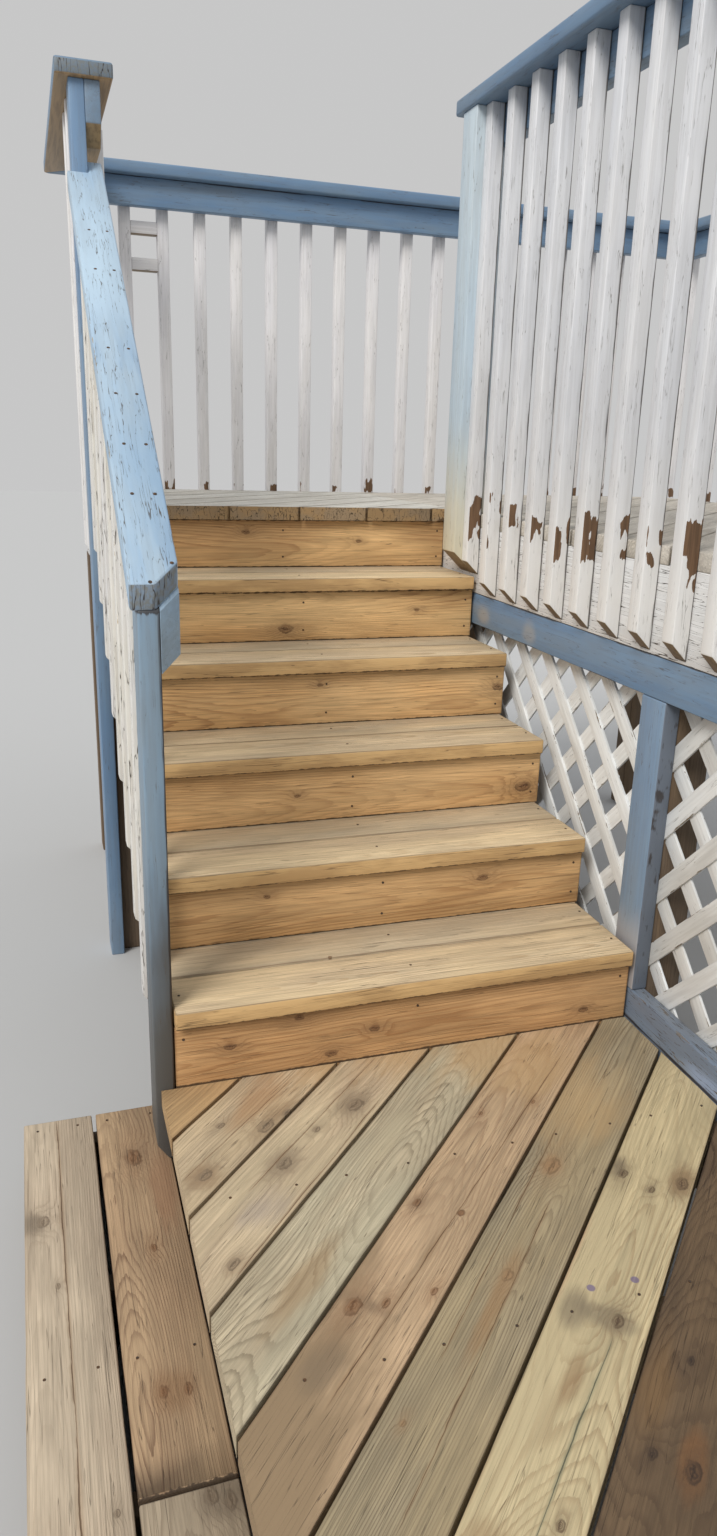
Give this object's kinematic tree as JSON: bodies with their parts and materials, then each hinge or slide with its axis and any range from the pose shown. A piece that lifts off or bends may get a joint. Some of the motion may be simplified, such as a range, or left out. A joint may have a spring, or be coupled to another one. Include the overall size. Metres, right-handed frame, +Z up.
{
  "type": "wooden deck stairs",
  "caption": "Wooden deck stairs with closed risers, a diagonal-board landing, a low side step, an upper deck on posts, painted guards with square balusters, a sloping handrail and a lattice side wall.",
  "frame": {"origin": "on the floor under the middle of the bounding box", "axes": "+Z up, +Y up the stairs, +X to the right seen from the foot of the stairs"},
  "size_m": [2.767, 3.44, 2.416],
  "materials": {
    "tread_wood": "matte",
    "riser_wood": "matte",
    "deck_boards": "matte",
    "step_boards": "matte",
    "frame_timber": "matte",
    "blue_paint": "satin",
    "white_paint": "satin"
  },
  "bodies": {
    "root": {"tread_1": "tread_wood", "tread_2": "tread_wood", "tread_3": "tread_wood", "tread_4": "tread_wood", "tread_5": "tread_wood", "riser_1": "riser_wood", "riser_2": "riser_wood", "riser_3": "riser_wood", "riser_4": "riser_wood", "riser_5": "riser_wood", "riser_6": "riser_wood", "landing_boards": "deck_boards", "top_landing_boards": "deck_boards", "side_deck_boards_back": "deck_boards", "side_deck_boards_front": "deck_boards", "side_step_boards": "step_boards", "stringers": "frame_timber", "landing_frame": "frame_timber", "stair_sill": "frame_timber", "side_step_frame": "frame_timber", "upper_rims": "frame_timber", "upper_joists": "frame_timber", "deck_posts": "frame_timber", "newel_post": "blue_paint", "handrail": "blue_paint", "stair_subrail": "blue_paint", "top_left_post": "blue_paint", "corner_post": "blue_paint", "left_guard_cap": "blue_paint", "back_guard_cap": "blue_paint", "far_guard_cap": "blue_paint", "front_guard_cap": "blue_paint", "right_guard_cap": "blue_paint", "left_guard_rail": "blue_paint", "back_guard_rail": "blue_paint", "far_guard_rail": "blue_paint", "front_guard_rail": "blue_paint", "right_guard_rail": "blue_paint", "band_board": "blue_paint", "base_board": "blue_paint", "lattice_posts": "blue_paint", "upper_rim_right": "white_paint", "stair_balusters": "white_paint", "left_guard_balusters": "white_paint", "back_guard_balusters": "white_paint", "far_guard_balusters": "white_paint", "front_guard_balusters": "white_paint", "right_guard_balusters": "white_paint", "lattice_front": "white_paint", "lattice_rear": "white_paint"}
  },
  "joints": []
}
